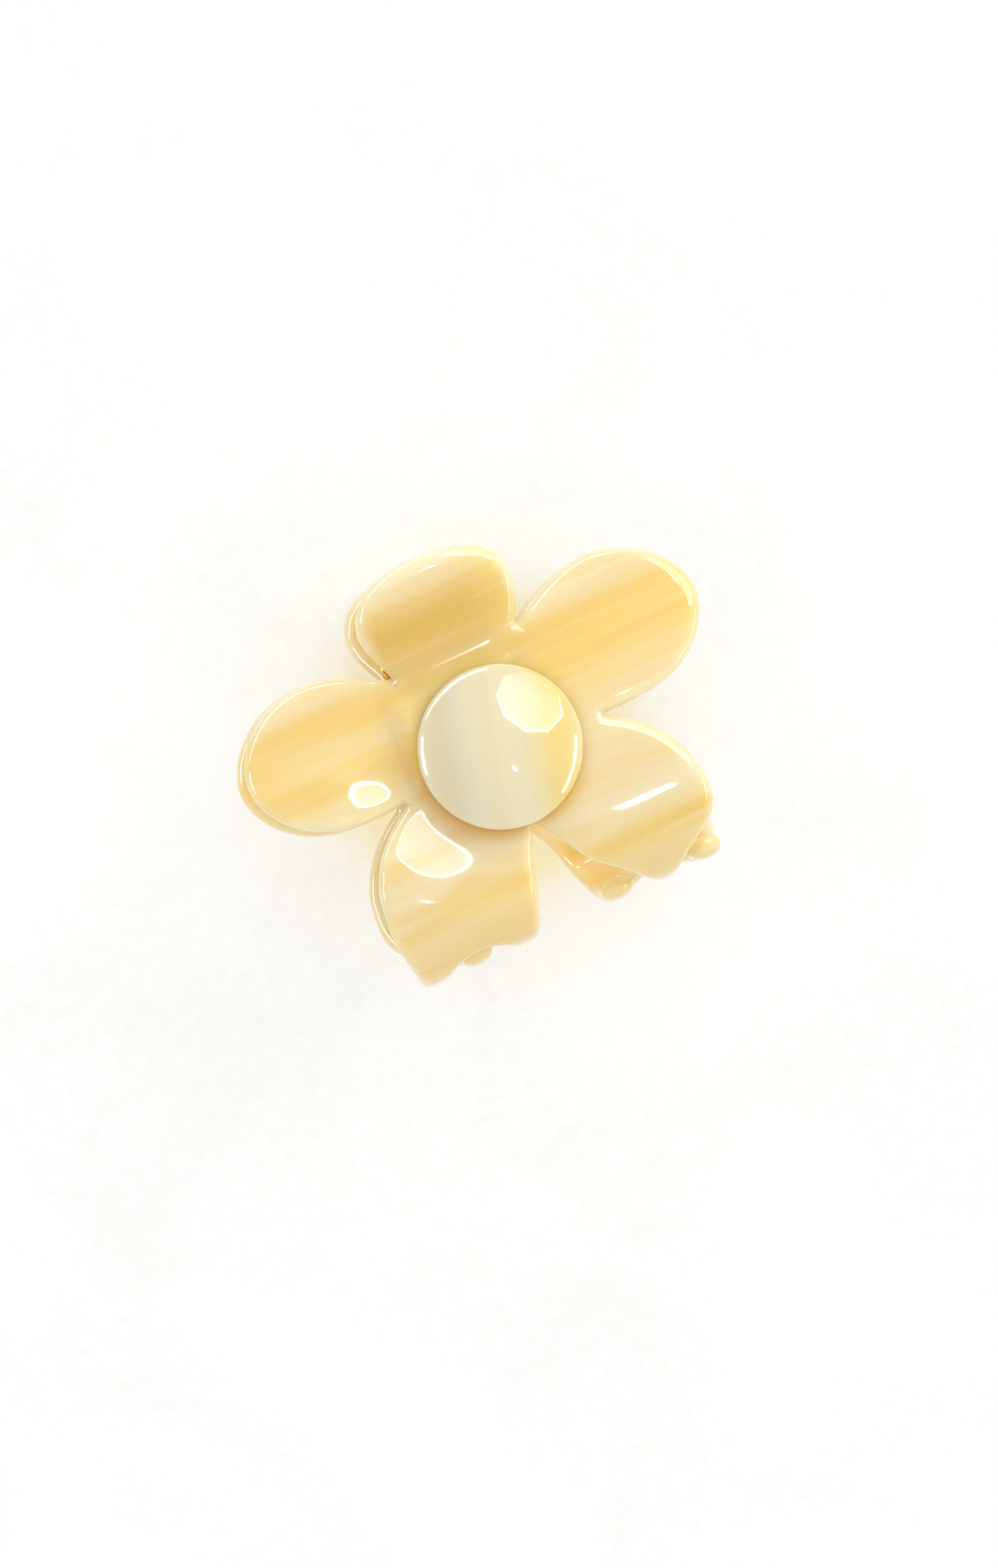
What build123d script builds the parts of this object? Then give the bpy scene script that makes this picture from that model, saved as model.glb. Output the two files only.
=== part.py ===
from build123d import *
import math
import os

# A double-sided flower claw clip, lying on its back flower. Millimetres, +Z up.
# +X runs along the hinge pin, +Y points to the press tabs, and +Z is the way the front flower faces.
# The origin is under the middle of the clip, on the surface that it lies on.

# --- driving dimensions -------------------------------------------------------------------------
sheet = 3.2             # thickness of the acetate sheet
face_height = 17.0      # from the middle plane to the outer face of each flower
dome_height = 6.5       # how far the centre dome stands above that face
dome_radius = 12.8
dome_rim = 1.9          # height of the dome's upright rim
dome_edge = 1.3         # round between the rim and the crown
dome_foot = 15.9        # lowest edge of the dome, where the petals droop away under it
half_depth = face_height + dome_height

curl_radius = 16.0      # outer radius of the curl of the two lower petals
curl_y = -13.0          # where that curl starts
arch_radius = 42.0      # gentle droop of the side petals towards the hinge
arch_y = 4.0            # where that droop starts

tab_bend_y = 14.7       # where the top petal bends away from the flower
tab_angle = 24.0        # how far the press tab flares outwards, in degrees
tab_length = 18.0

tooth_half_width = 2.6
tooth_x = (-23.2, -8.2, 15.8)
tooth_length = 31.3     # to the tooth tips, along the outer face from where the curl starts
notch_length = 18.7     # to the deepest point between the two teeth on one petal
petal_x = 26.5          # half width across the lower petals where the curl starts
petal_cut_angle = 60.0  # the curled petals are trimmed square to the sheet here

pin_y = 18.4            # hinge axis, on the middle plane
pin_radius = 1.0
pin_clearance = 0.06
pin_head_radius = 1.6
pin_head_height = 0.8
metal = 0.8             # thickness of the hinge leaves
ear_gap = 0.2
back_ear_x = 9.2        # inner side of the back leaf's ears
front_ear_x = back_ear_x - ear_gap - metal
ear_radius = 2.4
leaf_start_y = -1.0
leaf_end_y = 14.0
rivet_x = 5.0
rivet_y = 2.0
rivet_radius = 0.9
rivet_head_radius = 1.9
rivet_head_height = 0.8

wire = 1.3              # spring wire diameter
coil_radius = 3.2       # to the middle of the wire
coil_turns = 6 + 1 / 6
coil_pitch = 1.6
leg_length = 15.3
leg_start_angle = 150.0  # where the front leg leaves the coil

# --- planes through the flower centre, on the middle plane ----------------------------------------
tab_slope = math.radians(tab_angle)
tab_tip_y = tab_bend_y + tab_length * math.cos(tab_slope) + sheet * math.sin(tab_slope)
flower_y = -(tab_tip_y + curl_y - curl_radius) / 2               # centres the clip's length on Y = 0
middle = Vector(0, flower_y, half_depth)
plan = Plane(origin=middle)                                      # local x is X, local y is Y
side = Plane(origin=middle, x_dir=(0, 1, 0), z_dir=(1, 0, 0))    # local x is Y, local y is Z
end = Plane(origin=middle, x_dir=(1, 0, 0), z_dir=(0, -1, 0))    # local x is X, local y is Z
half_turn = Axis(middle, (0, 1, 0))                              # swaps the front and back jaws

curl_centre = (curl_y, face_height - curl_radius)
tooth_sweep = math.degrees(tooth_length / curl_radius)
arch_centre = (arch_y, face_height - arch_radius)


def arch_angle(y, depth):
    """Angle, seen from the arch's centre, of the drooping face at y."""
    return math.degrees(math.acos((y - arch_y) / (arch_radius - depth)))


def arch_height(y, depth):
    """Height over the middle plane of the drooping face, depth below the outer face."""
    return arch_centre[1] + math.sqrt((arch_radius - depth) ** 2 - (y - arch_y) ** 2)


tab_origin = middle + Vector(0, tab_bend_y, arch_height(tab_bend_y, 0))
tab = Plane(origin=tab_origin, x_dir=(1, 0, 0), z_dir=(0, -math.sin(tab_slope), math.cos(tab_slope)))


def turned(part):
    """The same piece, half a turn about the flower's upright axis: the back jaw's."""
    return part.rotate(half_turn, 180)


# --- jaws: flowers cut from acetate sheet and bent -------------------------------------------------
cut_slope = math.radians(petal_cut_angle)
curl_plane = Plane(
    origin=middle + Vector(0, *curl_centre),
    x_dir=(1, 0, 0),
    z_dir=(0, -math.sin(cut_slope), math.cos(cut_slope)),
)


def curled(*points):
    """Points of the unrolled petals, x and length along the curl, as seen square to curl_plane."""
    return [(x, curl_radius * math.sin(cut_slope - s / curl_radius)) for x, s in points]


def tooth_end(x):
    """Round end of a tooth, drawn from its right side to its left side."""
    root = tooth_length - tooth_half_width
    ThreePointArc(curled((x + tooth_half_width, root), (x, tooth_length), (x - tooth_half_width, root)))


# What is trimmed from the curled sheet to leave the two lower petals and their teeth.
with BuildPart() as petal_offcut:
    with BuildSketch(curl_plane):
        Rectangle(80, 70)
        outer, inner, single = tooth_x
        w = tooth_half_width
        root = tooth_length - w
        with BuildLine():
            # Petal with two teeth.
            Polyline(*curled((0, 0)), (0, 25), (-petal_x, 25), *curled((-petal_x, 0)))
            Spline(*curled((-petal_x, 0), (-27.2, 7.0), (-26.8, 13.0), (outer - w, 21.0)))
            Line(*curled((outer - w, 21.0), (outer - w, root)))
            tooth_end(outer)
            Line(*curled((outer + w, root), (outer + w, 24.5)))
            notch_x = (outer + inner) / 2
            Spline(*curled((outer + w, 24.5), (notch_x - 3.1, 20.3), (notch_x, notch_length),
                           (notch_x + 3.1, 20.3), (inner - w, 24.5)))
            Line(*curled((inner - w, 24.5), (inner - w, root)))
            tooth_end(inner)
            Spline(*curled((inner + w, root), (-4.9, 19.0), (-3.6, 11.0), (-1.7, 3.5), (0, 0)))
        make_face(mode=Mode.SUBTRACT)
        with BuildLine():
            # Petal with one tooth.
            Polyline(*curled((0, 0)), (0, 25), (petal_x, 25), *curled((petal_x, 0)))
            Spline(*curled((petal_x, 0), (27.2, 5.5), (26.2, 11.0), (21.3, 16.8), (single + w, 23.0)))
            Line(*curled((single + w, 23.0), (single + w, root)))
            tooth_end(single)
            Line(*curled((single - w, root), (single - w, 23.0)))
            Spline(*curled((single - w, 23.0), (10.2, 15.8), (5.8, 10.2), (2.2, 3.6), (0, 0)))
        make_face(mode=Mode.SUBTRACT)
    extrude(amount=30)
    split(bisect_by=end.offset(-curl_y), keep=Keep.TOP)

with BuildPart() as front_jaw:
    # Bent strip, as wide as the flower: curl, flat middle and droop.
    with BuildSketch(side):
        with BuildLine():
            rims = []
            for depth in (0, sheet):
                curl = CenterArc(curl_centre, curl_radius - depth, 90, tooth_sweep)
                Line((curl_y, face_height - depth), (arch_y, face_height - depth))
                droop_end = arch_angle(23, depth)
                droop = CenterArc(arch_centre, arch_radius - depth, droop_end, 90 - droop_end)
                rims.append((curl @ 1, droop @ 0))
            Line(rims[0][0], rims[1][0])
            Line(rims[0][1], rims[1][1])
        make_face()
    extrude(amount=42, both=True)

    # Side petals and the middle of the flower.
    with BuildSketch(plan.offset(-20)):
        with BuildLine():
            Polyline((0, tab_bend_y), (10.2, tab_bend_y), (10.2, 15.7))
            Spline((10.2, 15.7), (15.4, 18.8), (25.6, 21.3), (34.2, 17.3), (37.9, 10.2),
                   (35.6, 3.8), (29.0, -0.9), (22.0, -2.0), (16.2, -1.8))
            Spline((16.2, -1.8), (20.5, -4.7), (24.7, -9.3), (petal_x, curl_y))
            Polyline((petal_x, curl_y), (30, curl_y), (30, -32), (0, -32), (0, tab_bend_y))
        make_face()
        mirror(about=Plane.YZ)
    extrude(amount=50, mode=Mode.INTERSECT)
    add(petal_offcut.part, mode=Mode.SUBTRACT)

    # Top petal, flared outwards as the press tab.
    with BuildSketch(tab):
        with BuildLine():
            Polyline((0, -0.6), (10.3, -0.6), (10.3, 1.1))
            Spline((10.3, 1.1), (12.1, 5.4), (12.9, 9.8), (10.7, 14.5), (5.8, 17.2), (0, tab_length),
                   tangents=((0.45, 1), (-1, 0)))
            Line((0, tab_length), (0, -0.6))
        make_face()
        mirror(about=Plane.YZ)
    extrude(amount=-sheet)

    # Rivet holes under the dome.
    with BuildSketch(plan):
        with Locations((rivet_x, rivet_y), (-rivet_x, rivet_y)):
            Circle(rivet_radius)
    extrude(amount=half_depth, mode=Mode.SUBTRACT)

with BuildPart() as back_jaw:
    add(turned(front_jaw.part))

# --- domes: glued on the middle of each flower -----------------------------------------------------
with BuildPart() as front_dome:
    rim_z = face_height + dome_rim
    with BuildSketch(end) as half_section:
        with BuildLine():
            Polyline((0, half_depth), (0, dome_foot), (dome_radius, dome_foot), (dome_radius, rim_z))
            TangentArc((0, half_depth), (dome_radius, rim_z), tangent=(1, 0))
        make_face()
        rim_corner = half_section.vertices().group_by(Axis.X)[-1].sort_by(Axis.Y)[-1]
        fillet(rim_corner, dome_edge)
    revolve(axis=Axis(middle, (0, 0, 1)))
    # The underside follows the flower that it is glued on.
    add(front_jaw.part, mode=Mode.SUBTRACT)
    with BuildSketch(plan):
        with Locations((rivet_x, rivet_y), (-rivet_x, rivet_y)):
            Circle(rivet_radius)
    extrude(amount=face_height, mode=Mode.SUBTRACT)

with BuildPart() as back_dome:
    add(turned(front_dome.part))


# --- hinge leaves: stamped plates with two ears, riveted inside each jaw ---------------------------
def hinge_leaf(ear_x, hole_radius):
    """Leaf of the front jaw, with the inner side of its ears at ear_x."""
    with BuildPart() as leaf:
        with BuildSketch(side):
            with BuildLine():
                rims = []
                for depth in (sheet, sheet + metal):
                    start = (leaf_start_y, face_height - depth)
                    Line(start, (arch_y, face_height - depth))
                    last = arch_angle(leaf_end_y, depth)
                    droop = CenterArc(arch_centre, arch_radius - depth, last, 90 - last)
                    rims.append((start, droop @ 0))
                Line(rims[0][0], rims[1][0])
                Line(rims[0][1], rims[1][1])
            make_face()
        extrude(amount=ear_x + metal, both=True)

        # Ears, from the plate to the pin.
        base = sheet + metal / 2
        for x in (ear_x, -ear_x - metal):
            with BuildSketch(side.offset(x)):
                with Locations((pin_y, 0)):
                    Circle(ear_radius)
                with Locations((6.5, arch_height(6.5, base)), (13.4, arch_height(13.4, base))):
                    Circle(metal / 4)
                make_hull()
            extrude(amount=metal)
        with BuildSketch(side.offset(-20)):
            with Locations((pin_y, 0)):
                Circle(hole_radius)
        extrude(amount=40, mode=Mode.SUBTRACT)
        with BuildSketch(plan):
            with Locations((rivet_x, rivet_y), (-rivet_x, rivet_y)):
                Circle(rivet_radius)
        extrude(amount=face_height, mode=Mode.SUBTRACT)
    return leaf.part


front_hinge_leaf = hinge_leaf(front_ear_x, pin_radius + pin_clearance)
back_hinge_leaf = turned(hinge_leaf(back_ear_x, pin_radius))

# --- rivets: through leaf and sheet, two to a jaw --------------------------------------------------
head_base = face_height - sheet - metal
with BuildPart() as front_leaf_rivets:
    with BuildSketch(plan.offset(head_base)):
        with Locations((rivet_x, rivet_y), (-rivet_x, rivet_y)):
            Circle(rivet_radius)
    extrude(amount=sheet + metal)
    with BuildSketch(plan.offset(head_base)):
        with Locations((rivet_x, rivet_y), (-rivet_x, rivet_y)):
            Circle(rivet_head_radius)
    extrude(amount=-rivet_head_height)
    fillet(front_leaf_rivets.edges().group_by(Axis.Z)[0], rivet_head_height * 0.8)

with BuildPart() as back_leaf_rivets:
    add(turned(front_leaf_rivets.part))

# --- hinge pin: a rivet through all four ears ------------------------------------------------------
ear_face = back_ear_x + metal
with BuildPart() as hinge_pin:
    with BuildSketch(side.offset(-ear_face)):
        with Locations((pin_y, 0)):
            Circle(pin_radius)
    extrude(amount=2 * ear_face)
    for x, outwards in ((-ear_face, -1), (ear_face, 1)):
        with BuildSketch(side.offset(x)):
            with Locations((pin_y, 0)):
                Circle(pin_head_radius)
        extrude(amount=outwards * pin_head_height)
    head_rims = hinge_pin.edges().filter_by(GeomType.CIRCLE).group_by(Axis.X)
    fillet(head_rims[0] + head_rims[-1], pin_head_height * 0.7)

# --- torsion spring: coil on the pin, one leg on each press tab ------------------------------------
coil_length = coil_turns * coil_pitch
leg_start = math.radians(leg_start_angle)
coil_plane = Plane(
    origin=middle + Vector(-coil_length / 2, pin_y, 0),
    x_dir=(0, math.cos(leg_start), math.sin(leg_start)),
    z_dir=(1, 0, 0),
)
coil = coil_plane * Helix(coil_pitch, coil_length, coil_radius)
with BuildPart() as torsion_spring:
    with BuildLine() as path:
        front_leg = Line(coil @ 0 - leg_length * (coil % 0), coil @ 0)
        add(coil)
        Line(coil @ 1, coil @ 1 + leg_length * (coil % 1))
    with BuildSketch(Plane(origin=front_leg @ 0, z_dir=front_leg % 0)):
        Circle(wire / 2)
    sweep(path=path.wires()[0], is_frenet=True)

pieces = {
    "front_jaw": front_jaw.part,
    "front_dome": front_dome.part,
    "front_hinge_leaf": front_hinge_leaf,
    "front_leaf_rivets": front_leaf_rivets.part,
    "back_jaw": back_jaw.part,
    "back_dome": back_dome.part,
    "back_hinge_leaf": back_hinge_leaf,
    "back_leaf_rivets": back_leaf_rivets.part,
    "hinge_pin": hinge_pin.part,
    "torsion_spring": torsion_spring.part,
}
os.makedirs("parts", exist_ok=True)
for name, piece in pieces.items():
    piece.label = name
    export_step(piece, f"parts/{name}.step")
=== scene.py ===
import math

import bpy
import numpy as np
from mathutils import Matrix, Vector
from mathutils.geometry import delaunay_2d_cdt


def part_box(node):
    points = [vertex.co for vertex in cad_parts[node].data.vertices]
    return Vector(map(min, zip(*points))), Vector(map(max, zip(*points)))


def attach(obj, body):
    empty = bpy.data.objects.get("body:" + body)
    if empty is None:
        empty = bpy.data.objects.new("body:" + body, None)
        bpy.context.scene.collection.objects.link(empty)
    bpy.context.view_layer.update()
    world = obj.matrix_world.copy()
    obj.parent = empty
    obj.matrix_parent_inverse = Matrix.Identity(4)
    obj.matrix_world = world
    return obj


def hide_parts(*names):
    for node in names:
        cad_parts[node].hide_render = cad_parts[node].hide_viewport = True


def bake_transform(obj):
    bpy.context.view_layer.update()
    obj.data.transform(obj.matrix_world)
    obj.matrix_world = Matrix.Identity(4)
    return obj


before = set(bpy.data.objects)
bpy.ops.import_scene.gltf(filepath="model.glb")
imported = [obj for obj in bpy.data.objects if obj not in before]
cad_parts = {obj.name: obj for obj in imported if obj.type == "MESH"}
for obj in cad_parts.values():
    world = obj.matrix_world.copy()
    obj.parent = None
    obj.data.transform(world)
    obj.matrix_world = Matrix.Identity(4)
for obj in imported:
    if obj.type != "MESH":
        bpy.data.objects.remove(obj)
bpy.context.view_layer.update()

# --- the frame: sizes in millimetres, from the flower's centre on the middle plane ---------------
MM = 0.001
dome_low, dome_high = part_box("front_dome")
pin_low, pin_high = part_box("hinge_pin")
half_depth = dome_high.z / 2 / MM
flower_y = (dome_low.y + dome_high.y) / 2 / MM
pin_y = (pin_low.y + pin_high.y) / 2 / MM - flower_y
dome_radius = (dome_high.x - dome_low.x) / 2 / MM

sheet = 3.2              # acetate thickness
face_height = 17.0       # outer face of each flower
curl_radius, curl_y = 16.0, -13.0
arch_radius, arch_y = 42.0, 4.0
tab_bend_y = 14.7
tab_slope = math.radians(24)
tab_length = 18.0
tab_round = 2.5          # half length of the bend into the press tab
tooth_half_width = 2.6
tooth_x = (-23.2, -8.2, 15.8)
tooth_root_v = -41.7     # where the round tooth ends start, along the unrolled sheet

edge_depth = 1.5         # polished round edge, into the thickness
edge_inset = 1.9         # and across the face
crown_width = 5.0        # the petals are gently domed this far in from their edges
crown_drop = 0.25
dish_drop = 2.75         # the flower sinks towards its centre, most on the side given next
dish_radius = 27.0
dish_side = math.radians(209)
valley_width = 5.0       # creases between petals
valley_drop = 0.38
dip_x, dip_y = -17.5, 5.5  # a shallow dip left in the left petal by polishing
dip_width, dip_drop = 6.0, 1.15


def along(values, start, end):
    """0 at start, 1 at end, smooth between."""
    t = np.clip((np.asarray(values, float) - start) / (end - start), 0, 1)
    return t * t * (3 - 2 * t)


# --- the flower's outline on the flat sheet --------------------------------------------------------
def curve(*points, count=40):
    """Natural cubic spline through points."""
    p = np.array(points, float)
    n = len(p)
    knots = np.concatenate([[0], np.cumsum(np.linalg.norm(np.diff(p, axis=0), axis=1))])
    h = np.diff(knots)
    system = np.eye(n)
    right = np.zeros((n, 2))
    for i in range(1, n - 1):
        system[i, i - 1:i + 2] = h[i - 1], 2 * (h[i - 1] + h[i]), h[i]
        right[i] = 6 * ((p[i + 1] - p[i]) / h[i] - (p[i] - p[i - 1]) / h[i - 1])
    bend = np.linalg.solve(system, right)
    at = np.linspace(0, knots[-1], count * (n - 1) + 1)
    i = np.clip(np.searchsorted(knots, at, side="right") - 1, 0, n - 2)
    a = ((knots[i + 1] - at) / h[i])[:, None]
    b = 1 - a
    curving = ((a ** 3 - a) * bend[i] + (b ** 3 - b) * bend[i + 1]) * (h[i] ** 2)[:, None] / 6
    return a * p[i] + b * p[i + 1] + curving


def tooth_end(x):
    """Half circle round a tooth's end, from its left side to its right side."""
    turn = np.linspace(math.pi, 2 * math.pi, 40)
    return np.column_stack([x + tooth_half_width * np.cos(turn),
                            tooth_root_v + tooth_half_width * np.sin(turn)])


def mirrored(points):
    """The other side's copy, in the order that goes on round the flower."""
    return points[::-1] * (-1, 1)


def on_tab(*points):
    """Points given from the tab's bend, as points on the unrolled sheet."""
    return [(x, tab_bend_y + beyond) for x, beyond in points]


outer, inner, single = tooth_x
side = tooth_half_width
notch_x = (outer + inner) / 2
upper_edge = curve((26.5, -13), (24.7, -9.3), (20.5, -4.7), (16.2, -1.8))
side_petal = curve((16.2, -1.8), (22, -2), (29, -0.9), (35.6, 3.8), (37.9, 10.2), (34.2, 17.3), (25.6, 21.3),
                   (15.4, 18.8), (10.2, 15.7))
top_half = curve(*on_tab((10.3, 1.1), (12.1, 5.4), (12.9, 9.8), (10.7, 14.5), (5.8, 17.2), (0, tab_length),
                         (-5.8, 17.2)))
top_half = top_half[:np.argmax(top_half[:, 0] < 0)]
drawn = np.concatenate([
    curve((0, -13), (2.2, -16.6), (5.8, -23.2), (10.2, -28.8), (single - side, -36)),
    tooth_end(single),
    curve((single + side, -36), (21.3, -29.8), (26.2, -24), (27.2, -18.5), (26.5, -13)),
    upper_edge, side_petal, top_half, mirrored(top_half), mirrored(side_petal), mirrored(upper_edge),
    curve((-26.5, -13), (-27.2, -20), (-26.8, -26), (outer - side, -34)),
    tooth_end(outer),
    curve((outer + side, -37.5), (notch_x - 3.1, -33.3), (notch_x, -31.7), (notch_x + 3.1, -33.3),
          (inner - side, -37.5)),
    tooth_end(inner),
    curve((inner + side, tooth_root_v), (-4.9, -32), (-3.6, -24), (-1.7, -16.5), (0, -13)),
])


def resampled(points, step):
    """The closed outline at even steps."""
    closed = np.vstack([points, points[:1]])
    run = np.concatenate([[0], np.cumsum(np.linalg.norm(np.diff(closed, axis=0), axis=1))])
    keep = np.concatenate([[True], np.diff(run) > 1e-6])
    at = np.arange(round(run[-1] / step)) * run[-1] / round(run[-1] / step)
    return np.column_stack([np.interp(at, run[keep], closed[keep, k]) for k in (0, 1)])


def softened(points, step, width):
    """The closed outline with its corners rounded by polishing."""
    reach = int(4 * width / step)
    offsets = np.arange(-reach, reach + 1)
    weights = np.exp(-0.5 * (offsets * step / width) ** 2)
    return sum(k * np.roll(points, -o, axis=0) for k, o in zip(weights / weights.sum(), offsets))


fine_step, outline_step, corner_softness = 0.2, 0.5, 0.45
outline = resampled(softened(resampled(drawn, fine_step), fine_step, corner_softness), outline_step)
edge_run = np.roll(outline, -1, axis=0) - np.roll(outline, 1, axis=0)
inwards = np.column_stack([-edge_run[:, 1], edge_run[:, 0]]) / np.linalg.norm(edge_run, axis=1)[:, None]

# Creases run from the notches between petals to the dome.
valleys = [((10.6, 16.1), (7.4, 10.4)), ((-10.6, 16.1), (-7.4, 10.4)),
           ((16.6, -1.8), (12.4, -1.2)), ((-16.6, -1.8), (-12.4, -1.2)), ((0, -13.2), (0, -11.5))]


def distance(points, a, b):
    """Distance of each point to the segment from a to b."""
    a, b = np.array(a, float), np.array(b, float)
    t = np.clip(((points - a) @ (b - a)) / ((b - a) @ (b - a)), 0, 1)
    return np.linalg.norm(points - a - t[:, None] * (b - a), axis=1)


def edge_distance(points):
    """Distance of each point to the outline."""
    found = np.full(len(points), np.inf)
    for a, b in zip(outline, np.roll(outline, -1, axis=0)):
        found = np.minimum(found, distance(points, a, b))
    return found


def inside(points, loop):
    """True for the points inside a closed loop."""
    crossings = np.zeros(len(points), int)
    for (ax, ay), (bx, by) in zip(loop, np.roll(loop, -1, axis=0)):
        spans = (points[:, 1] >= min(ay, by)) & (points[:, 1] < max(ay, by))
        at = ax + (points[:, 1] - ay) * (bx - ax) / (by - ay if by != ay else 1)
        crossings += spans & (points[:, 0] < at)
    return crossings % 2 == 1


def drop(points):
    """How far the domed petals fall below the sheet's flat face."""
    crown = crown_drop * np.clip(1 - edge_distance(points) / crown_width, 0, 1) ** 2
    crease = np.zeros(len(points))
    for a, b in valleys:
        nearness = np.clip(1 - distance(points, a, b) / valley_width, 0, 1)
        crease = np.maximum(crease, valley_drop * nearness ** 2)

    # The doming is slighter on the teeth, and the sheet stays flat where the hinge leaf lies.
    on_petal = along(points[:, 1], -36, -24)
    beside_hinge = np.maximum(along(np.abs(points[:, 0]), 10.5, 14.5), 1 - along(points[:, 1], -2, 6))

    radius = np.hypot(points[:, 0], points[:, 1])
    facing = (points @ (math.cos(dish_side), math.sin(dish_side))) / np.maximum(radius, 1)
    dish = dish_drop * (1 - along(radius, dome_radius, dish_radius)) * along(facing, -0.2, 1)
    dish *= along(radius, dome_radius - 2, dome_radius)
    dip = dip_drop * np.exp(-0.5 * np.hypot(points[:, 0] - dip_x, points[:, 1] - dip_y) ** 2 / dip_width ** 2)
    return np.hypot(crown, crease) * (0.25 + 0.75 * on_petal) + (dish + dip) * beside_hinge


def curl():
    """The curl of the lower petals, which tightens gradually: angle, y and z along its outer face."""
    start, full = 9.5, 17.5  # how far below the centre it begins, and is at its tightest
    end = -tooth_root_v + tooth_half_width
    run = np.linspace(start, end + 1, 400)
    tightness = np.cumsum(along(run, start, full)) * (run[1] - run[0])
    turn = tightness / np.interp(end, run, tightness) * (end + curl_y) / curl_radius
    step = run[1] - run[0]
    y = -start - np.concatenate([[0], np.cumsum(np.cos(turn[:-1]) * step)])
    z = face_height - np.concatenate([[0], np.cumsum(np.sin(turn[:-1]) * step)])
    return run, (turn, y, z)


curl_run, curl_lines = curl()


def bent(points, depth):
    """Places of points on the unrolled sheet, depth below its outer face, once the jaw is bent."""
    x, v = points[:, 0], points[:, 1]
    depth = depth + drop(points)

    # Flat middle, the droop towards the hinge, and the curl of the lower petals. The outline keeps its
    # place halfway down the edge.
    over = np.clip(v - arch_y, 0, None)
    rise = np.sqrt(arch_radius ** 2 - over ** 2)
    rim_depth = sheet / 2 + crown_drop
    arch_line = v - (depth - rim_depth) * over / arch_radius
    arch_z = face_height - arch_radius + rise - depth * rise / arch_radius
    turn, curl_line_y, curl_line_z = (np.interp(-v, curl_run, line) for line in curl_lines)
    in_curl = v < -curl_run[0]
    side_y = np.where(in_curl, curl_line_y + depth * np.sin(turn), arch_line)
    side_z = np.where(in_curl, curl_line_z - depth * np.cos(turn), arch_z)

    # The press tab, which flares outwards after a rounded bend.
    bend_z = face_height - arch_radius + math.sqrt(arch_radius ** 2 - (tab_bend_y - arch_y) ** 2)
    bend = np.array([tab_bend_y, bend_z])
    start_over = tab_bend_y - tab_round - arch_y
    start = np.array([tab_bend_y - tab_round,
                      face_height - arch_radius + math.sqrt(arch_radius ** 2 - start_over ** 2)])
    flare = np.array([math.cos(tab_slope), math.sin(tab_slope)])
    s = np.clip((v - start[0]) / (2 * tab_round), 0, 1)[:, None]
    finish = bend + tab_round * flare
    line = (1 - s) ** 2 * start + 2 * s * (1 - s) * bend + s ** 2 * finish
    beyond = np.clip(v - tab_bend_y - tab_round, 0, None)[:, None]
    line = line + beyond * flare
    slope = (1 - s) * (bend - start) + s * (finish - bend)
    slope /= np.linalg.norm(slope, axis=1)[:, None]
    tab_y = line[:, 0] + depth * slope[:, 1]
    tab_z = line[:, 1] - depth * slope[:, 0]

    # The top petal takes the tab's shape, and the sheet beside it keeps the droop.
    share = 1 - along(np.abs(x), 9, 14.5)
    in_top = np.abs(x) < 10.2 + 0.6 * (v - 15.7)
    share = np.where(in_top, share + (1 - share) * along(v, 15, 18.5), share)
    share = np.where(v > start[0], share, 0)
    return np.column_stack([x, share * tab_y + (1 - share) * side_y, share * tab_z + (1 - share) * side_z])


# --- meshes -----------------------------------------------------------------------------------------
def make_piece(name, points, faces, material, from_edge=None):
    """A smooth mesh from points in millimetres about the flower's centre; its material reads from_edge."""
    mesh = bpy.data.meshes.new(name)
    placed = (np.asarray(points) + (0, flower_y, half_depth)) * MM
    mesh.from_pydata(placed.tolist(), [], faces)
    mesh.update()
    mesh.polygons.foreach_set("use_smooth", [True] * len(mesh.polygons))
    if from_edge is not None:
        distances = mesh.attributes.new("from_edge", "FLOAT", "POINT")
        distances.data.foreach_set("value", np.asarray(from_edge, "f"))
    piece = bpy.data.objects.new(name, mesh)
    bpy.context.scene.collection.objects.link(piece)
    mesh.materials.append(material)
    return piece


def half_turned(points):
    """The back half's copy: turned half a turn about Y."""
    return points * (-1, 1, -1)


def ring_faces(rings, count):
    """Quads between closed rings of count points each."""
    faces = []
    for r in range(rings - 1):
        for i in range(count):
            j = (i + 1) % count
            faces.append((r * count + i, r * count + j, (r + 1) * count + j, (r + 1) * count + i))
    return faces


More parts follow.
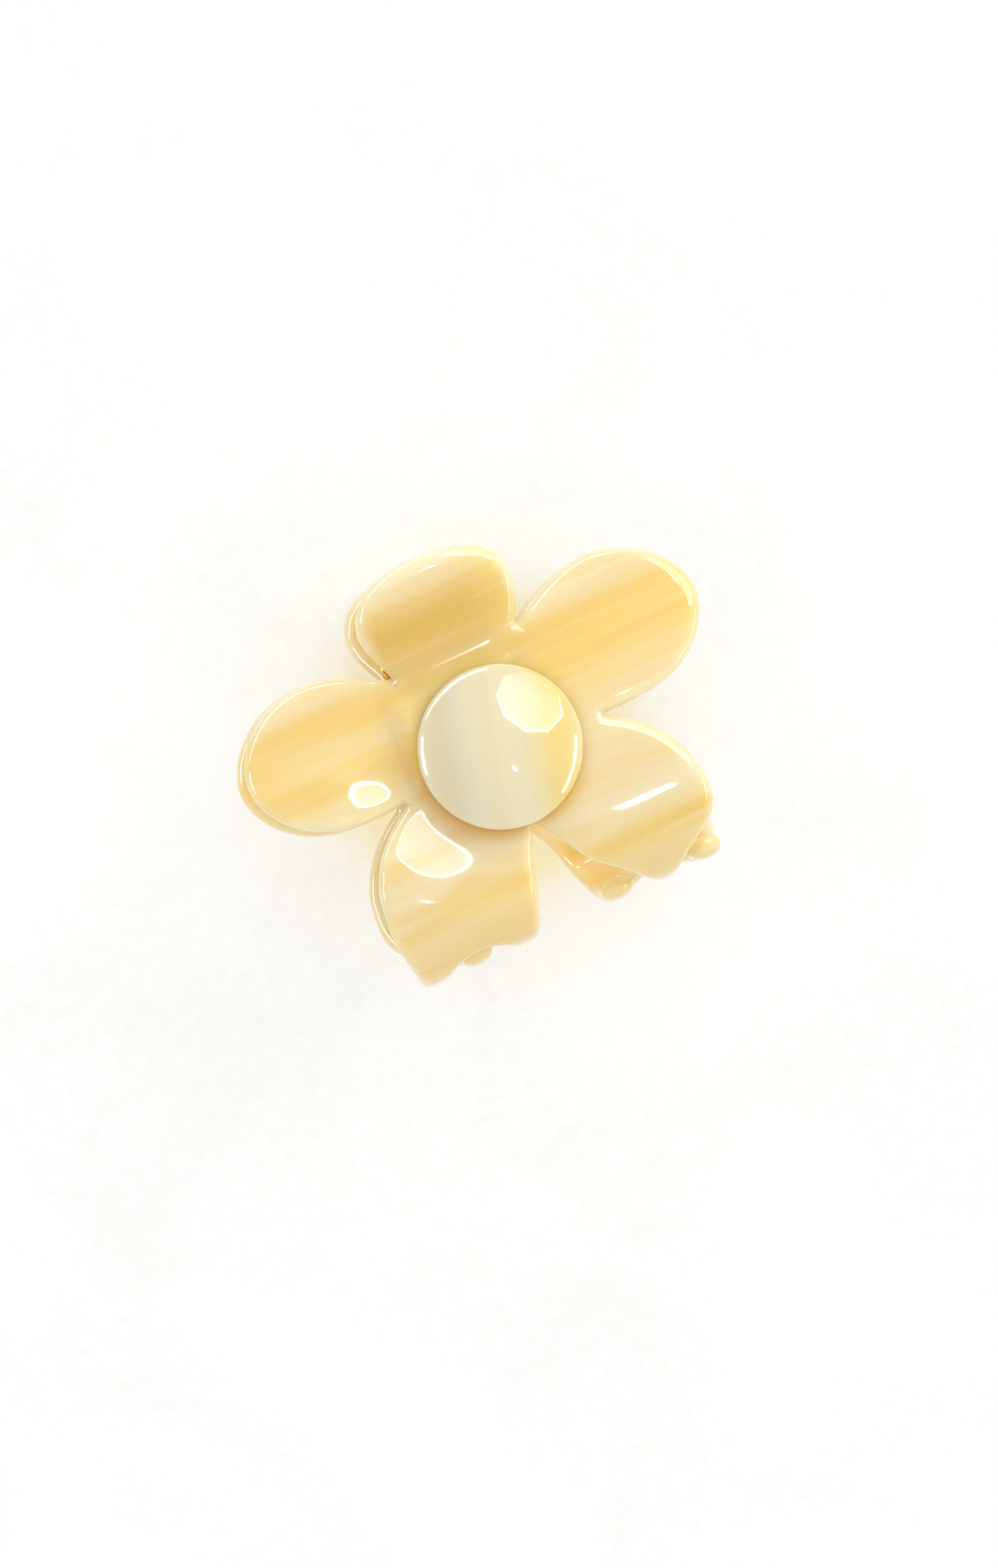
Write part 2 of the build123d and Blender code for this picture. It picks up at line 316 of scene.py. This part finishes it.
def jaw_mesh():
    """Points and faces of the front jaw, and each point's distance in from the outline."""
    steps = 7
    turns = [k * math.pi / 2 / steps for k in range(steps + 1)]
    profile = [(edge_inset * (1 - math.sin(t)), edge_depth * (1 - math.cos(t))) for t in turns]
    profile += [(inset, sheet - depth) for inset, depth in reversed(profile)]
    count = len(outline)
    points = np.concatenate([bent(outline + inset * inwards, depth) for inset, depth in profile])
    from_edge = np.repeat([inset for inset, depth in profile], count)
    faces = [face[::-1] for face in ring_faces(len(profile), count)]

    # The flat faces inside the rim.
    rim = outline + edge_inset * inwards
    spacing = 0.85
    reach = 60               # rows and columns each way, which cover the whole outline
    grid = np.array([(i * spacing + (k % 2) * spacing / 2, k * spacing * math.sqrt(3) / 2)
                     for k in range(-reach, reach) for i in range(-reach, reach)])
    grid = grid[inside(grid, outline)]
    grid = grid[edge_distance(grid) > edge_inset + 0.45 * spacing]
    flat = np.vstack([rim, grid])
    loop = [(i, (i + 1) % count) for i in range(count)]
    found, _, triangles, origin, _, _ = delaunay_2d_cdt([Vector(p) for p in flat.tolist()], loop, [], 1, 1e-5)
    assert len(found) == len(flat)
    source = [o[0] for o in origin]
    for depth, ring, flip in ((0.0, 0, False), (sheet, len(profile) - 1, True)):
        first = len(points)
        points = np.vstack([points, bent(grid, depth)])
        from_edge = np.concatenate([from_edge, edge_distance(grid)])
        for triangle in triangles:
            face = [ring * count + source[k] if source[k] < count else first + source[k] - count
                    for k in triangle]
            faces.append(face[::-1] if flip else face)
    return points, faces, from_edge


def dome_mesh():
    """Points and faces of the front dome."""
    height = half_depth - face_height
    rim_height, fillet = 1.9, 1.3
    rise = height - rim_height
    radius = (dome_radius ** 2 + rise ** 2) / (2 * rise)
    centre_z = half_depth - radius
    crown_end = math.asin((dome_radius - fillet) / (radius - fillet))
    fillet_z = centre_z + (radius - fillet) * math.cos(crown_end)
    profile = [(radius * math.sin(t), centre_z + radius * math.cos(t))
               for t in np.linspace(crown_end / 24, crown_end, 24)]
    profile += [(dome_radius - fillet + fillet * math.sin(t), fillet_z + fillet * math.cos(t))
                for t in np.linspace(crown_end, math.pi / 2, 10)[1:]]
    count = 144
    around = np.arange(count) * 2 * math.pi / count
    rings = [np.column_stack([r * np.cos(around), r * np.sin(around), np.full(count, z)]) for r, z in profile]
    # The rim goes down into the sheet, wherever its face is.
    sunk = 0.5
    foot = rings[-1].copy()
    foot[:, 2] = bent(foot[:, :2], sunk)[:, 2]
    rings += [rings[-1] + share * (foot - rings[-1]) for share in (0.25, 0.5, 0.75, 1.0)]
    faces = [face[::-1] for face in ring_faces(len(rings), count)]
    points = np.vstack(rings + [[[0, 0, half_depth]], [[0, 0, face_height - sunk]]])
    top, bottom = len(points) - 2, len(points) - 1
    last = (len(rings) - 1) * count
    for i in range(count):
        j = (i + 1) % count
        faces.append((top, i, j))
        faces.append((bottom, last + j, last + i))
    return points, faces


# --- materials --------------------------------------------------------------------------------------
def shader(name):
    """A new material, its node tree and its Principled node."""
    material = bpy.data.materials.new(name)
    material.use_nodes = True
    return material, material.node_tree, material.node_tree.nodes["Principled BSDF"]


def add_node(tree, kind, **settings):
    """A new node, with settings such as its operation."""
    node = tree.nodes.new(kind)
    for key, value in settings.items():
        setattr(node, key, value)
    return node


def connect(tree, source, target, socket):
    """Joins an output to a node's input, given by name or number."""
    tree.links.new(source, target.inputs[socket])


def colour(*levels):
    """Display levels of red, green and blue, 0 to 255, as a linear colour."""
    linear = [((c / 255 + 0.055) / 1.055) ** 2.4 if c > 10 else c / 255 / 12.92 for c in levels]
    return (*linear, 1)


def flower_coordinates(tree, stretch, turn=0.0):
    """Object coordinates in millimetres from the flower's centre, turned about Z and stretched."""
    where = add_node(tree, "ShaderNodeTexCoord")
    shift = add_node(tree, "ShaderNodeMapping", vector_type="POINT")
    shift.inputs["Location"].default_value = (0, -flower_y, -half_depth)
    shift.inputs["Scale"].default_value = (1 / MM,) * 3
    connect(tree, where.outputs["Object"], shift, "Vector")
    mapping = add_node(tree, "ShaderNodeMapping", vector_type="TEXTURE")
    mapping.inputs["Rotation"].default_value = (0, 0, turn)
    mapping.inputs["Scale"].default_value = stretch
    connect(tree, shift.outputs["Vector"], mapping, "Vector")
    return mapping.outputs["Vector"]


def noise(tree, vector, scale=1.0, detail=2.0, roughness=0.5, distortion=0.0):
    """Noise from 0 to 1, mostly near its middle."""
    node = add_node(tree, "ShaderNodeTexNoise")
    connect(tree, vector, node, "Vector")
    node.inputs["Scale"].default_value = scale
    node.inputs["Detail"].default_value = detail
    node.inputs["Roughness"].default_value = roughness
    node.inputs["Distortion"].default_value = distortion
    return node.outputs["Fac"]


def spread(tree, value, start, end, low=0.0, high=1.0):
    """value from start..end mapped to low..high, held at its ends."""
    node = add_node(tree, "ShaderNodeMapRange", interpolation_type="SMOOTHSTEP")
    connect(tree, value, node, "Value")
    for socket, number in (("From Min", start), ("From Max", end), ("To Min", low), ("To Max", high)):
        node.inputs[socket].default_value = number
    return node.outputs["Result"]


def ramp(tree, value, stops):
    """Colours by value, from a list of (value, colour)."""
    node = add_node(tree, "ShaderNodeValToRGB")
    node.color_ramp.interpolation = "B_SPLINE"
    elements = node.color_ramp.elements
    while len(elements) < len(stops):
        elements.new(0.5)
    for element, (position, tint) in zip(elements, stops):
        element.position = position
        element.color = tint
    connect(tree, value, node, "Fac")
    return node.outputs["Color"]


mix_a, mix_b, mix_result = 6, 7, 2   # the Mix node's sockets for colours, by number


def mixed(tree, share, a, b):
    """Colour a where share is 0, b where it is 1; b may be a fixed colour."""
    node = add_node(tree, "ShaderNodeMix", data_type="RGBA")
    connect(tree, share, node, "Factor")
    connect(tree, a, node, mix_a)
    if isinstance(b, tuple):
        node.inputs[mix_b].default_value = b
    else:
        connect(tree, b, node, mix_b)
    return node.outputs[mix_result]


def maths(tree, operation, a, b=None, c=None):
    """Arithmetic on outputs and plain numbers."""
    node = add_node(tree, "ShaderNodeMath", operation=operation)
    for k, value in enumerate((a, b, c)):
        if isinstance(value, (int, float)):
            node.inputs[k].default_value = value
        elif value is not None:
            connect(tree, value, node, k)
    return node.outputs[0]


def bump(tree, principled, height, depth, strength=1.0):
    """Bump by height, depth metres deep."""
    node = add_node(tree, "ShaderNodeBump")
    node.inputs["Strength"].default_value = strength
    node.inputs["Distance"].default_value = depth
    connect(tree, height, node, "Height")
    connect(tree, node.outputs["Normal"], principled, "Normal")


surface_light = (1.17, 1.09, 1.04)   # how bright a white face of the flower would show under the lights
surface_gloss = 0.045                # what the gloss adds
brightest_colour = 0.93


def seen(*levels):
    """The colour that shows as these display levels under the scene's light."""
    return tuple(min(max(c - surface_gloss, 0.01) / light, brightest_colour)
                 for c, light in zip(colour(*levels), surface_light)) + (1,)


def bands(tree, value, stops):
    """Soft colour bands across the sheet, from (place in millimetres, display levels)."""
    low, high = stops[0][0], stops[-1][0]
    share = maths(tree, "DIVIDE", maths(tree, "SUBTRACT", value, low), high - low)
    return ramp(tree, share, [((at - low) / (high - low), seen(*levels)) for at, levels in stops])


def polish(tree, principled):
    """Clear polished acetate: soft light inside, a gloss on top, and faint marks of polishing."""
    principled.inputs["Subsurface Weight"].default_value = 0.8
    principled.inputs["Subsurface Radius"].default_value = (1.0, 0.75, 0.36)
    principled.inputs["Subsurface Scale"].default_value = 4.5 * MM
    principled.inputs["IOR"].default_value = 1.48
    principled.inputs["Specular IOR Level"].default_value = 0.35
    principled.inputs["Coat Weight"].default_value = 0.7
    principled.inputs["Coat Roughness"].default_value = 0.015
    wear = noise(tree, flower_coordinates(tree, (9, 9, 9)), detail=3)
    connect(tree, spread(tree, wear, 0.3, 0.7, 0.05, 0.11), principled, "Roughness")
    ripple = noise(tree, flower_coordinates(tree, (7, 5, 5)), detail=1)
    bump(tree, principled, ripple, 0.05 * MM, 0.3)


def petal_acetate():
    """Streaked amber and cream sheet, with painted shade round the dome's foot and on the top petal, and
    painted sheen and glow at its edges.
    """
    material, tree, principled = shader("petal acetate")
    drift = noise(tree, flower_coordinates(tree, (34, 20, 20)), detail=1)
    parts = add_node(tree, "ShaderNodeSeparateXYZ")
    connect(tree, flower_coordinates(tree, (1, 1, 1)), parts, "Vector")
    x, y = parts.outputs["X"], parts.outputs["Y"]
    # Bands across the sheet, wandering a little along X.
    wander = maths(tree, "MULTIPLY_ADD", maths(tree, "SUBTRACT", drift, 0.5), 6.0, y)
    # Creamier towards the side petals' upper edges: partly the sheet's own cream, partly painted sheen on
    # those edges.
    lower = bands(tree, wander, [
        (-31, (243, 216, 152)), (-27, (242, 207, 130)), (-23.8, (243, 220, 164)), (-21.4, (242, 214, 146)),
        (-20, (240, 206, 122)), (-18.4, (241, 219, 168)), (-15.5, (241, 223, 184)), (-12.5, (241, 219, 170)),
        (-5, (243, 222, 175)), (-1, (244, 225, 180)), (4, (246, 218, 146)), (10, (247, 213, 128)),
        (14, (244, 208, 122)), (16.5, (243, 215, 152)), (19, (248, 230, 190)), (22, (249, 237, 208))])
    # The top petal: darker amber, partly the sheet's own tone and partly painted shade of the tab that tilts
    # away from the key light. Its creamy tip is partly painted sheen along that rim. It is paler towards its
    # right side.
    upper = bands(tree, wander, [
        (12, (240, 204, 118)), (16, (236, 201, 128)), (19, (233, 197, 118)), (22, (230, 190, 100)),
        (24.6, (231, 193, 108)), (26.6, (241, 210, 142)), (29, (244, 221, 172)), (33, (248, 234, 202))])
    upper = mixed(tree, spread(tree, x, 3, 11, 0, 0.55), upper, seen(250, 220, 136))
    middle = spread(tree, maths(tree, "ABSOLUTE", x), 14, 10)
    top = maths(tree, "MULTIPLY", middle, spread(tree, y, 12, 17))
    base = mixed(tree, top, lower, upper)
    # Streaks drawn out along X.
    broad = noise(tree, flower_coordinates(tree, (52, 4.2, 4.2)), detail=2, distortion=0.3)
    fine = noise(tree, flower_coordinates(tree, (44, 1.5, 1.5)), detail=2, distortion=0.2)
    base = mixed(tree, spread(tree, broad, 0.5, 0.72, 0, 0.35), base, seen(240, 200, 108))
    base = mixed(tree, spread(tree, broad, 0.5, 0.3, 0, 0.4), base, seen(243, 227, 192))
    base = mixed(tree, spread(tree, fine, 0.52, 0.75, 0, 0.16), base, seen(232, 186, 88))
    base = mixed(tree, spread(tree, fine, 0.45, 0.28, 0, 0.18), base, seen(244, 230, 198))
    # Painted shade: deeper amber round the foot of the dome, most on its lower left, away from the key light.
    radius = maths(tree, "SQRT", maths(tree, "MULTIPLY_ADD", x, x, maths(tree, "MULTIPLY", y, y)))
    side = maths(tree, "MULTIPLY_ADD", x, -0.6, maths(tree, "MULTIPLY", y, -0.8))
    foot = maths(tree, "MULTIPLY", spread(tree, radius, 15.5, 12.2), spread(tree, side, -6, 8, 0.3, 0.9))
    base = mixed(tree, foot, base, seen(242, 194, 88))
    # Paler along the thin polished rim: partly the thinner acetate's own paler tone, partly a painted glow of
    # light bleeding through the rim.
    from_edge = add_node(tree, "ShaderNodeAttribute", attribute_name="from_edge").outputs["Fac"]
    base = mixed(tree, spread(tree, from_edge, 1.9, 0.2, 0, 0.3), base, seen(250, 236, 204))
    connect(tree, base, principled, "Base Color")
    polish(tree, principled)
    return material


def dome_acetate():
    """The same acetate, paler, with its grain turned well away from the petals'."""
    material, tree, principled = shader("dome acetate")
    grain_turn = math.radians(75)
    parts = add_node(tree, "ShaderNodeSeparateXYZ")
    connect(tree, flower_coordinates(tree, (1, 1, 1), grain_turn), parts, "Vector")
    drift = noise(tree, flower_coordinates(tree, (16, 9, 16), grain_turn), detail=1)
    across = maths(tree, "MULTIPLY_ADD", maths(tree, "SUBTRACT", drift, 0.5), 3.0, parts.outputs["Y"])
    base = bands(tree, across, [
        (-13, (247, 228, 178)), (-11.4, (246, 220, 152)), (-9.6, (245, 214, 132)), (-8, (244, 214, 138)),
        (-6.2, (242, 219, 164)), (-3.6, (240, 223, 184)), (-0.5, (241, 226, 190)), (1.5, (240, 222, 182)),
        (4, (238, 226, 200)), (6.5, (232, 218, 190)), (9, (233, 212, 172)), (11, (236, 220, 186)),
        (13, (240, 226, 194))])
    broad = noise(tree, flower_coordinates(tree, (46, 3.6, 46), grain_turn), detail=2, distortion=0.2)
    fine = noise(tree, flower_coordinates(tree, (36, 1.1, 36), grain_turn), detail=2)
    base = mixed(tree, spread(tree, broad, 0.5, 0.72, 0, 0.22), base, seen(243, 218, 158))
    base = mixed(tree, spread(tree, fine, 0.5, 0.75, 0, 0.25), base, seen(235, 214, 180))
    connect(tree, base, principled, "Base Color")
    polish(tree, principled)
    return material


def plated(name, tint, roughness, grain):
    """Gold-coloured metal with faint brushing."""
    material, tree, principled = shader(name)
    principled.inputs["Metallic"].default_value = 1.0
    wear = noise(tree, flower_coordinates(tree, grain), detail=4, roughness=0.6)
    deeper = tuple(0.82 * c for c in tint[:3]) + (1,)
    connect(tree, ramp(tree, wear, [(0.3, deeper), (0.6, tint)]), principled, "Base Color")
    connect(tree, spread(tree, wear, 0.3, 0.7, roughness, roughness + 0.14), principled, "Roughness")
    bump(tree, principled, wear, 0.02 * MM, 0.3)
    return material


floor_tone = 0.145       # how pale the floor's material is, under its own strong light


def floor_tint(green, blue):
    """The floor's tone, with its green and blue lowered to these shares."""
    return (floor_tone, floor_tone * green, floor_tone * blue, 1)


def plaster():
    """Pale brushed plaster, with a painted amber pool of light round the clip."""
    material, tree, principled = shader("plaster")
    where = add_node(tree, "ShaderNodeTexCoord").outputs["Object"]
    broad = noise(tree, where, scale=22, detail=5, roughness=0.6, distortion=0.6)
    fine = noise(tree, where, scale=420, detail=3)
    # Painted light: the floor is tinted amber near the clip, for the light that comes through the acetate
    # into its shadow.
    away = add_node(tree, "ShaderNodeVectorMath", operation="LENGTH")
    connect(tree, where, away, 0)
    painted_light_reach = 0.1       # metres from the clip's middle
    painted_warm_light = ramp(tree, maths(tree, "DIVIDE", away.outputs["Value"], painted_light_reach), [
        (0.12, floor_tint(0.82, 0.4)), (0.21, floor_tint(0.82, 0.38)), (0.26, floor_tint(0.96, 0.84)),
        (0.34, floor_tint(0.98, 0.92)), (0.45, floor_tint(0.99, 0.955)), (0.65, floor_tint(0.996, 0.98))])
    strokes = add_node(tree, "ShaderNodeMix", data_type="RGBA", blend_type="MULTIPLY")
    strokes.inputs["Factor"].default_value = 1.0
    connect(tree, painted_warm_light, strokes, mix_a)
    height = maths(tree, "MULTIPLY_ADD", fine, 0.3, maths(tree, "MULTIPLY", broad, 0.7))
    connect(tree, ramp(tree, height, [(0.36, (0.9, 0.9, 0.89, 1)), (0.54, (1, 1, 1, 1))]), strokes, mix_b)
    connect(tree, strokes.outputs[mix_result], principled, "Base Color")
    principled.inputs["Roughness"].default_value = 0.75
    bump(tree, principled, height, 0.9 * MM, 0.4)
    return material


petals = petal_acetate()
domes = dome_acetate()
gold = plated("gold plate", colour(228, 190, 108), 0.16, (0.5, 3, 3))
spring_gold = plated("spring wire", colour(226, 196, 138), 0.2, (0.6, 0.6, 0.6))

# --- acetate pieces ---------------------------------------------------------------------------------
jaw_points, jaw_faces, jaw_from_edge = jaw_mesh()
dome_points, dome_faces = dome_mesh()
for half, place in (("front", lambda points: points), ("back", half_turned)):
    body = half + "_half"
    jaw = make_piece(half + "_flower_petals", place(jaw_points), jaw_faces, petals, jaw_from_edge)
    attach(jaw, body)
    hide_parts(half + "_jaw")
    dome = make_piece(half + "_flower_centre", place(dome_points), dome_faces, domes)
    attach(dome, body)
    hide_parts(half + "_dome")


# --- torsion spring -----------------------------------------------------------------------------------
def spring_mesh():
    """Points and faces of the wire along its legs and coil, and the coil's length."""
    wire, radius, turns, pitch, leg = 1.3, 3.2, 6 + 1 / 6, 1.6, 15.3
    length = turns * pitch
    angle = np.linspace(0, turns * 2 * math.pi, int(turns * 40) + 1)
    start = math.radians(150)
    coil = np.column_stack([-length / 2 + pitch * angle / (2 * math.pi),
                            pin_y + radius * np.cos(start + angle), radius * np.sin(start + angle)])

    def heading(at):
        """The wire's direction at an angle along the coil."""
        run = np.array([pitch / (2 * math.pi), -radius * math.sin(start + at), radius * math.cos(start + at)])
        return run / np.linalg.norm(run)

    first, last = heading(0), heading(angle[-1])
    path = np.vstack([coil[:1] - leg * first, coil[:1] - 0.5 * leg * first, coil,
                      coil[-1:] + 0.5 * leg * last, coil[-1:] + leg * last])
    sides = 14
    around = np.arange(sides) * 2 * math.pi / sides
    along_path = np.gradient(path, axis=0)
    along_path /= np.linalg.norm(along_path, axis=1)[:, None]
    across = np.cross(along_path, (1.0, 0, 0))
    across /= np.linalg.norm(across, axis=1)[:, None]
    beside = np.cross(along_path, across)

    def ring(k, advance, r):
        """Points round the wire, advance millimetres on from place k of the path."""
        centre = path[k] + advance * along_path[k]
        return centre + r * (np.cos(around)[:, None] * across[k] + np.sin(around)[:, None] * beside[k])

    tip = 0.25 * wire
    ends = [(0, 0.3 * wire), (tip * 0.4, 0.44 * wire), (tip, 0.5 * wire)]
    rows = [ring(0, advance, r) for advance, r in ends]
    rows += [ring(k, 0, wire / 2) for k in range(1, len(path) - 1)]
    rows += [ring(len(path) - 1, -advance, r) for advance, r in reversed(ends)]
    faces = ring_faces(len(rows), sides)
    faces.append(list(range(sides))[::-1])
    faces.append([(len(rows) - 1) * sides + i for i in range(sides)])
    return np.vstack(rows), faces, length


spring_points, spring_faces, coil_length = spring_mesh()
spring = make_piece("closing_spring", spring_points, spring_faces, spring_gold)
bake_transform(spring)
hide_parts("torsion_spring")

# --- metal parts kept from the frame ------------------------------------------------------------------
for name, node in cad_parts.items():
    if name.endswith("_leaf") or name.endswith("_rivets") or name == "hinge_pin":
        node.data.materials.clear()
        node.data.materials.append(gold)
        weld = node.modifiers.new("weld", "WELD")
        weld.merge_threshold = 0.002 * MM
        soften = node.modifiers.new("soft edges", "BEVEL")
        soften.width = 0.12 * MM
        soften.segments = 2
        soften.limit_method = "ANGLE"
        soften.angle_limit = math.radians(35)

# --- floor, light and camera --------------------------------------------------------------------------
floor_size = 8.0
floor_mesh = bpy.data.meshes.new("floor")
corner = floor_size / 2
floor_corners = [(-corner, -corner, 0), (corner, -corner, 0), (corner, corner, 0), (-corner, corner, 0)]
floor_mesh.from_pydata(floor_corners, [], [(0, 1, 2, 3)])
floor = bpy.data.objects.new("floor", floor_mesh)
bpy.context.scene.collection.objects.link(floor)
floor_mesh.materials.append(plaster())

# The camera looks down on the flower, which is turned a little to the left in its view.
flower_turn = math.radians(25)
view_right = Vector((math.cos(flower_turn), -math.sin(flower_turn), 0))
view_up = Vector((math.sin(flower_turn), math.cos(flower_turn), 0))
straight_up = Vector((0, 0, 1))


def aim(thing, place, target, up):
    """Points thing's -Z from place to target, with its Y towards up."""
    back = (place - target).normalized()
    right = up.cross(back).normalized()
    turned = Matrix((right, back.cross(right), back)).transposed()
    thing.matrix_world = Matrix.Translation(place) @ turned.to_4x4()


flower_centre = Vector((0, flower_y, 0)) * MM
view_target = flower_centre + Vector((-2.59, -5.13, half_depth + 18.0)) * MM
view_tilt = math.radians(3.5)
view_distance = 3.0
camera_data = bpy.data.cameras.new("camera")
camera = bpy.data.objects.new("camera", camera_data)
bpy.context.scene.collection.objects.link(camera)
camera_data.sensor_width = 36
camera_data.lens = 447
camera_data.clip_start = 0.01
away = Vector((-math.sin(view_tilt), 0, math.cos(view_tilt)))
aim(camera, view_target + view_distance * away, view_target, view_up)
bpy.context.scene.camera = camera

light_target = Vector((0, flower_y, 2 * half_depth)) * MM


def octagon_pattern(data, inner_glow, rim_glow):
    """Shapes a square light's glow into an octagon, brightest along its rim on the side towards the view."""
    data.use_nodes = True
    tree = data.node_tree
    place = add_node(tree, "ShaderNodeNewGeometry").outputs["Parametric"]
    parts = add_node(tree, "ShaderNodeSeparateXYZ")
    connect(tree, place, parts, "Vector")
    x, y = (maths(tree, "ABSOLUTE", maths(tree, "SUBTRACT", parts.outputs[k], 0.5)) for k in (0, 1))
    corner = maths(tree, "MULTIPLY", maths(tree, "ADD", x, y), math.sqrt(0.5))
    out = maths(tree, "MAXIMUM", maths(tree, "MAXIMUM", x, y), corner)
    within = maths(tree, "LESS_THAN", out, 0.5)
    near = maths(tree, "ADD", parts.outputs["X"], parts.outputs["Y"])
    rim_start = 0.467
    rim = maths(tree, "MULTIPLY", maths(tree, "GREATER_THAN", out, rim_start), spread(tree, near, 0.7, 1.2))
    inner = maths(tree, "MULTIPLY", spread(tree, parts.outputs["X"], 0.0, 0.5, 0.35, 1), inner_glow)
    glow = maths(tree, "MULTIPLY_ADD", rim, rim_glow - inner_glow, inner)
    connect(tree, maths(tree, "MULTIPLY", glow, within), tree.nodes["Emission"], "Strength")


lamp_distance = 0.6


def softbox(name, tilt, side, size, radiance, shape="DISK", size_y=None):
    """A light tilt degrees from straight up, on a side in degrees anticlockwise from the view's right."""
    tilt, side = math.radians(tilt), math.radians(side)
    flat = math.cos(side) * view_right + math.sin(side) * view_up
    place = light_target + lamp_distance * (math.cos(tilt) * straight_up + math.sin(tilt) * flat)
    data = bpy.data.lights.new(name, "AREA")
    data.shape = shape
    data.size = size
    area = size * size * (math.pi / 4 if shape == "DISK" else 1)
    if size_y:
        data.size_y = size_y
        area = size * size_y
    data.energy = radiance * math.pi * area
    lamp = bpy.data.objects.new(name, data)
    bpy.context.scene.collection.objects.link(lamp)
    aim(lamp, place, light_target, flat.cross(straight_up))
    return lamp


soft_key = softbox("soft key", 46, 47, 0.5, 2.2)
soft_key.visible_glossy = False

# Even light for the floor alone, so that the clip's shadow on it stays pale.
floor_light = bpy.data.lights.new("floor light", "SUN")
floor_light.energy = 4.7 * math.pi
floor_light.use_shadow = False
floor_lamp = bpy.data.objects.new("floor light", floor_light)
bpy.context.scene.collection.objects.link(floor_lamp)
floor_only = bpy.data.collections.new("lit by the floor light")
floor_only.objects.link(floor)
floor_lamp.light_linking.receiver_collection = floor_only

# The warm light that comes through the acetate into the hollow between the halves.
glow_data = bpy.data.lights.new("glow through the acetate", "POINT")
glow_data.color = (1.0, 0.82, 0.45)
glow_data.energy = 0.004
glow_data.shadow_soft_size = 7 * MM
glow = bpy.data.objects.new("glow through the acetate", glow_data)
bpy.context.scene.collection.objects.link(glow)
glow.location = Vector((0, flower_y - 9, half_depth)) * MM
glow.visible_glossy = False

# What the gloss mirrors: an octagonal softbox with a bright rim, a small lamp and three low strips.
octabox = softbox("octabox", 53, 55, 0.62, 1.0, shape="SQUARE")
octabox.data.color = (0.92, 0.98, 1.1)
octagon_pattern(octabox.data, inner_glow=3.7, rim_glow=14.0)
octabox.visible_diffuse = False
for name, tilt, side, width, length, radiance in (
        ("small lamp", 24, -52, 0.055, 0.017, 75.0), ("low strip", 73, 186, 0.035, 0.3, 40.0),
        ("rim strip", 76, 128, 0.045, 0.7, 17.0), ("right strip", 74, -12, 0.03, 0.45, 15.0)):
    lamp = softbox(name, tilt, side, width, radiance, shape="RECTANGLE", size_y=length)
    lamp.visible_diffuse = False

world = bpy.data.worlds.new("studio")
world.use_nodes = True
bpy.context.scene.world = world
background = world.node_tree.nodes["Background"]
background.inputs["Color"].default_value = (1.0, 0.995, 0.985, 1)
background.inputs["Strength"].default_value = 1.04
bpy.context.scene.view_settings.view_transform = "Standard"
